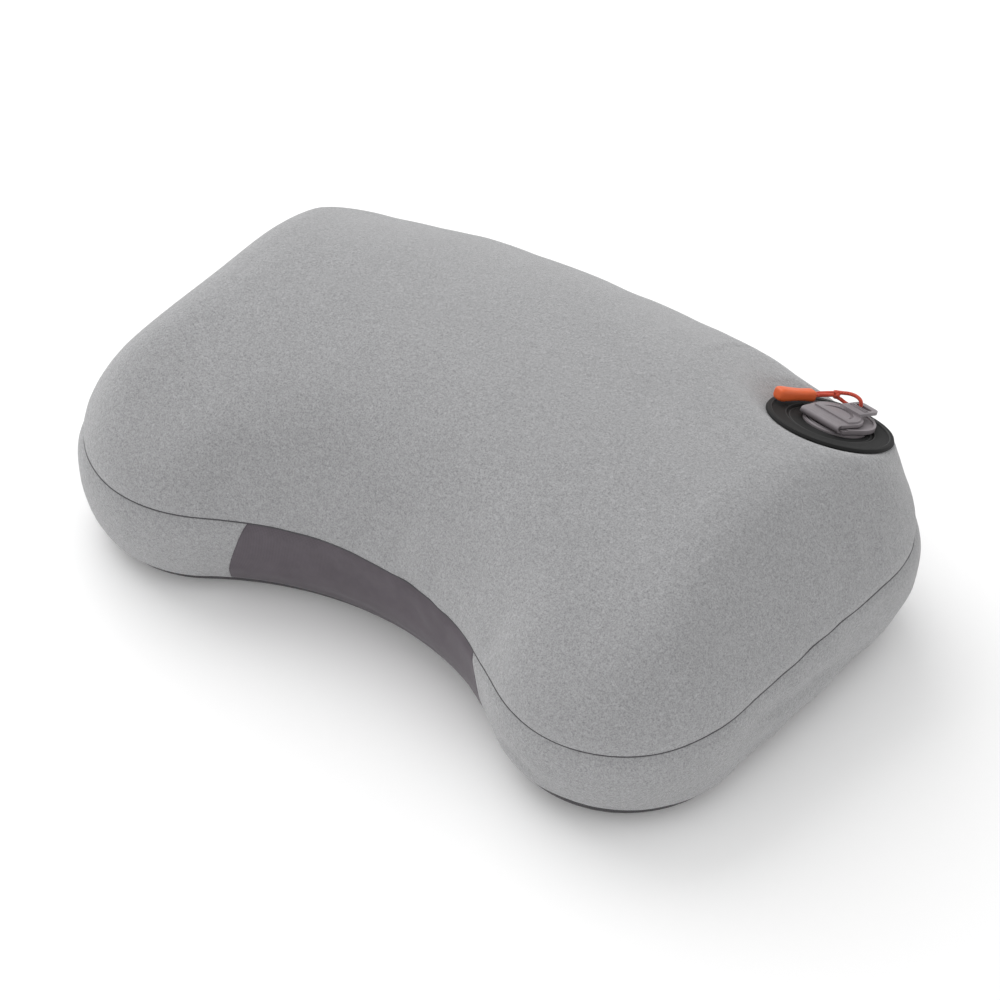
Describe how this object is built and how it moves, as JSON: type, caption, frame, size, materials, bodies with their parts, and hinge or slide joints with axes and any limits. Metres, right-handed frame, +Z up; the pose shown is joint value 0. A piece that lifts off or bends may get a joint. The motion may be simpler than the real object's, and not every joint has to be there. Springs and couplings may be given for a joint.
{
  "type": "camp pillow",
  "caption": "Kidney-shaped inflatable camp pillow: brushed cloth shell round a welded air bladder, with a two-stage flap valve and a corded pull.",
  "frame": {"origin": "middle of the underside, on the surface that the pillow lies on", "axes": "+X along the pillow's length to the user's right, +Y to the back edge away from the neck cut-out, +Z up"},
  "size_m": [0.4136, 0.2758, 0.125],
  "materials": {
    "brushed_cloth": "light grey fine-napped brushed polyester knit",
    "woven_cloth": "smooth dark purple-grey woven polyester",
    "binding": "dark bound seam allowance",
    "film": "coated bladder film",
    "baffle_film": "coated baffle web",
    "black_tpu": "soft black moulded sheet",
    "grey_tpu": "soft grey moulded plastic",
    "membrane": "thin clear silicone",
    "cord": "red-orange braided cord",
    "grip": "orange soft moulded grip"
  },
  "bodies": {
    "pillow": {"top_panel": "brushed_cloth", "side_band": "brushed_cloth", "neck_panel": "woven_cloth", "base_panel": "woven_cloth", "top_seam_binding": "binding", "foot_seam_binding": "binding", "bladder_top_film": "film", "bladder_base_film": "film", "baffle_1": "baffle_film", "baffle_2": "baffle_film", "baffle_3": "baffle_film", "baffle_4": "baffle_film", "valve_surround": "black_tpu", "valve_seat": "grey_tpu", "weld_flange": "black_tpu", "flap_strap": "grey_tpu"},
    "deflate_flap": {"deflate_flap": "grey_tpu", "cap_strap": "grey_tpu"},
    "check_membrane": {"check_membrane": "membrane"},
    "inflate_cap": {"inflate_cap": "grey_tpu", "loop_cord": "cord", "cord_knot": "cord"},
    "pull": {"grip_cord": "cord", "pull_grip": "grip"}
  },
  "joints": [
    {"name": "deflate_flap_hinge", "type": "hinge", "parent": "pillow", "child": "deflate_flap", "pos_m": [0.14747, 0.11349, 0.09479], "axis": [-0.9877, 0.1423, -0.0649], "range_deg": [0, 100], "deforming": ["flap_strap"]},
    {"name": "inflate_cap_hinge", "type": "hinge", "parent": "deflate_flap", "child": "inflate_cap", "pos_m": [0.14169, 0.08107, 0.11177], "axis": [0.9877, -0.1423, 0.0649], "range_deg": [0, 150], "deforming": ["cap_strap"]},
    {"name": "check_membrane_lift", "type": "slide", "parent": "deflate_flap", "child": "check_membrane", "axis": [0, 0.415, 0.9098], "range_m": [-0.001, 0], "stiffness_N_per_m": 4},
    {"name": "pull_swing", "type": "hinge", "parent": "inflate_cap", "child": "pull", "pos_m": [0.13116, 0.10966, 0.10357], "axis": [-0.9877, 0.1423, -0.0649], "range_deg": [0, 150], "deforming": ["grip_cord"]}
  ],
  "couplings": [
    {"joint": "pull_swing", "follows": "inflate_cap_hinge", "ratio": 1}
  ]
}
